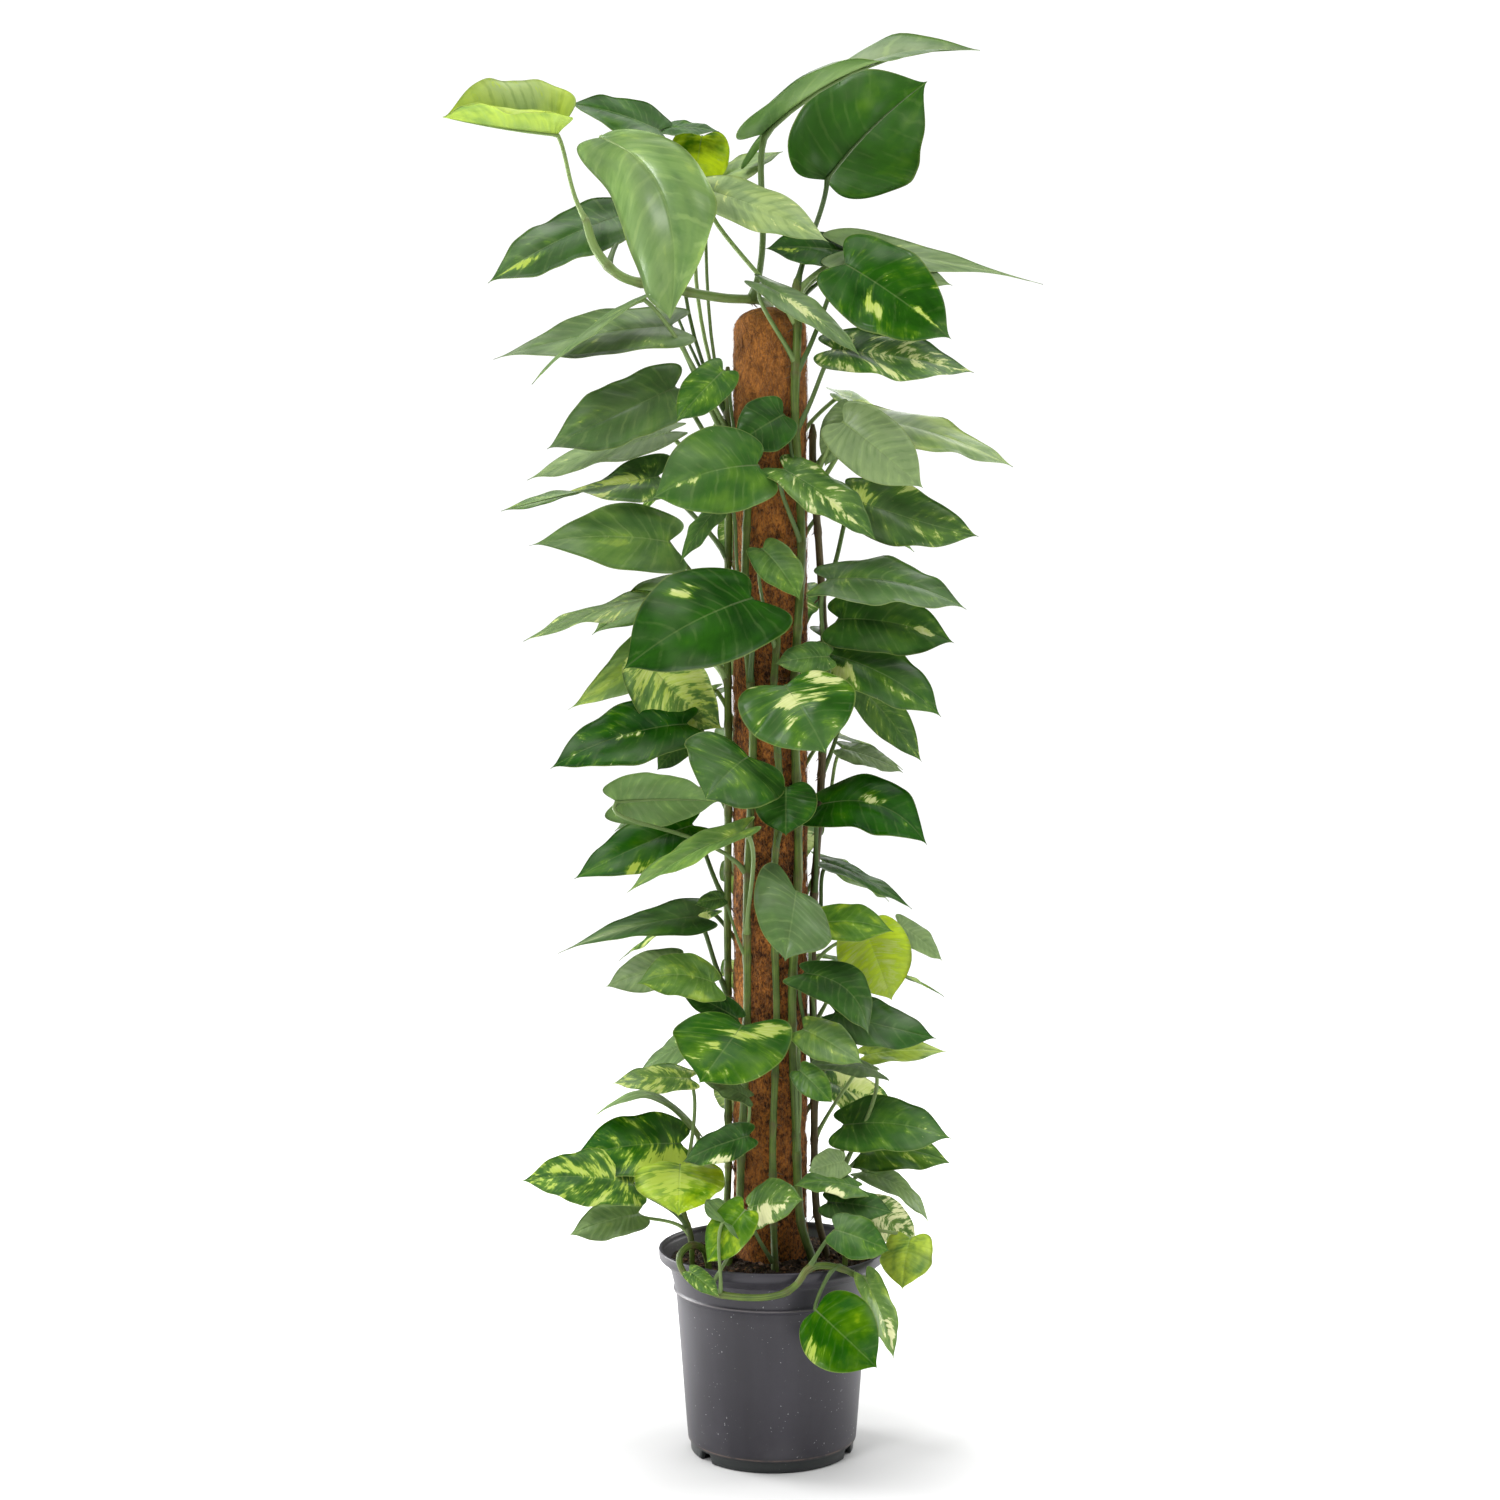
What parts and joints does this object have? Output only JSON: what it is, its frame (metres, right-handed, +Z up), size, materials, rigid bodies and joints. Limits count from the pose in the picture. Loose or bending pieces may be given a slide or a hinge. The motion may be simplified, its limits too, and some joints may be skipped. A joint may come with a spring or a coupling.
{
  "type": "potted golden pothos on a coir pole",
  "caption": "Golden pothos vines climbing a coir pole in a round dark grey nursery pot, with heart-shaped variegated leaves and a trailing stem over the rim.",
  "frame": {"origin": "middle of the flat pad under the pot, on the surface that it stands on", "axes": "+Z up along the pole, front of the plant towards -Y, +X to the right seen from the front"},
  "size_m": [0.6383, 0.3575, 1.5101],
  "materials": {
    "pot_plastic": "matt moulded",
    "potting_mix": "moist peat and bark",
    "tube_plastic": "matt",
    "coir": "coarse brown fibre",
    "foliage": "glossy leaf"
  },
  "bodies": {
    "root": {"pot": "pot_plastic", "soil": "potting_mix", "pole_core": "tube_plastic", "pole_coir": "coir", "vine_top": "foliage", "vine_left": "foliage", "vine_front_left": "foliage", "vine_front_mid": "foliage", "vine_front_right": "foliage", "vine_right": "foliage", "vine_back_left": "foliage", "vine_back_right": "foliage", "vine_low_left": "foliage", "vine_low_right": "foliage", "vine_trailing": "foliage"}
  },
  "joints": []
}
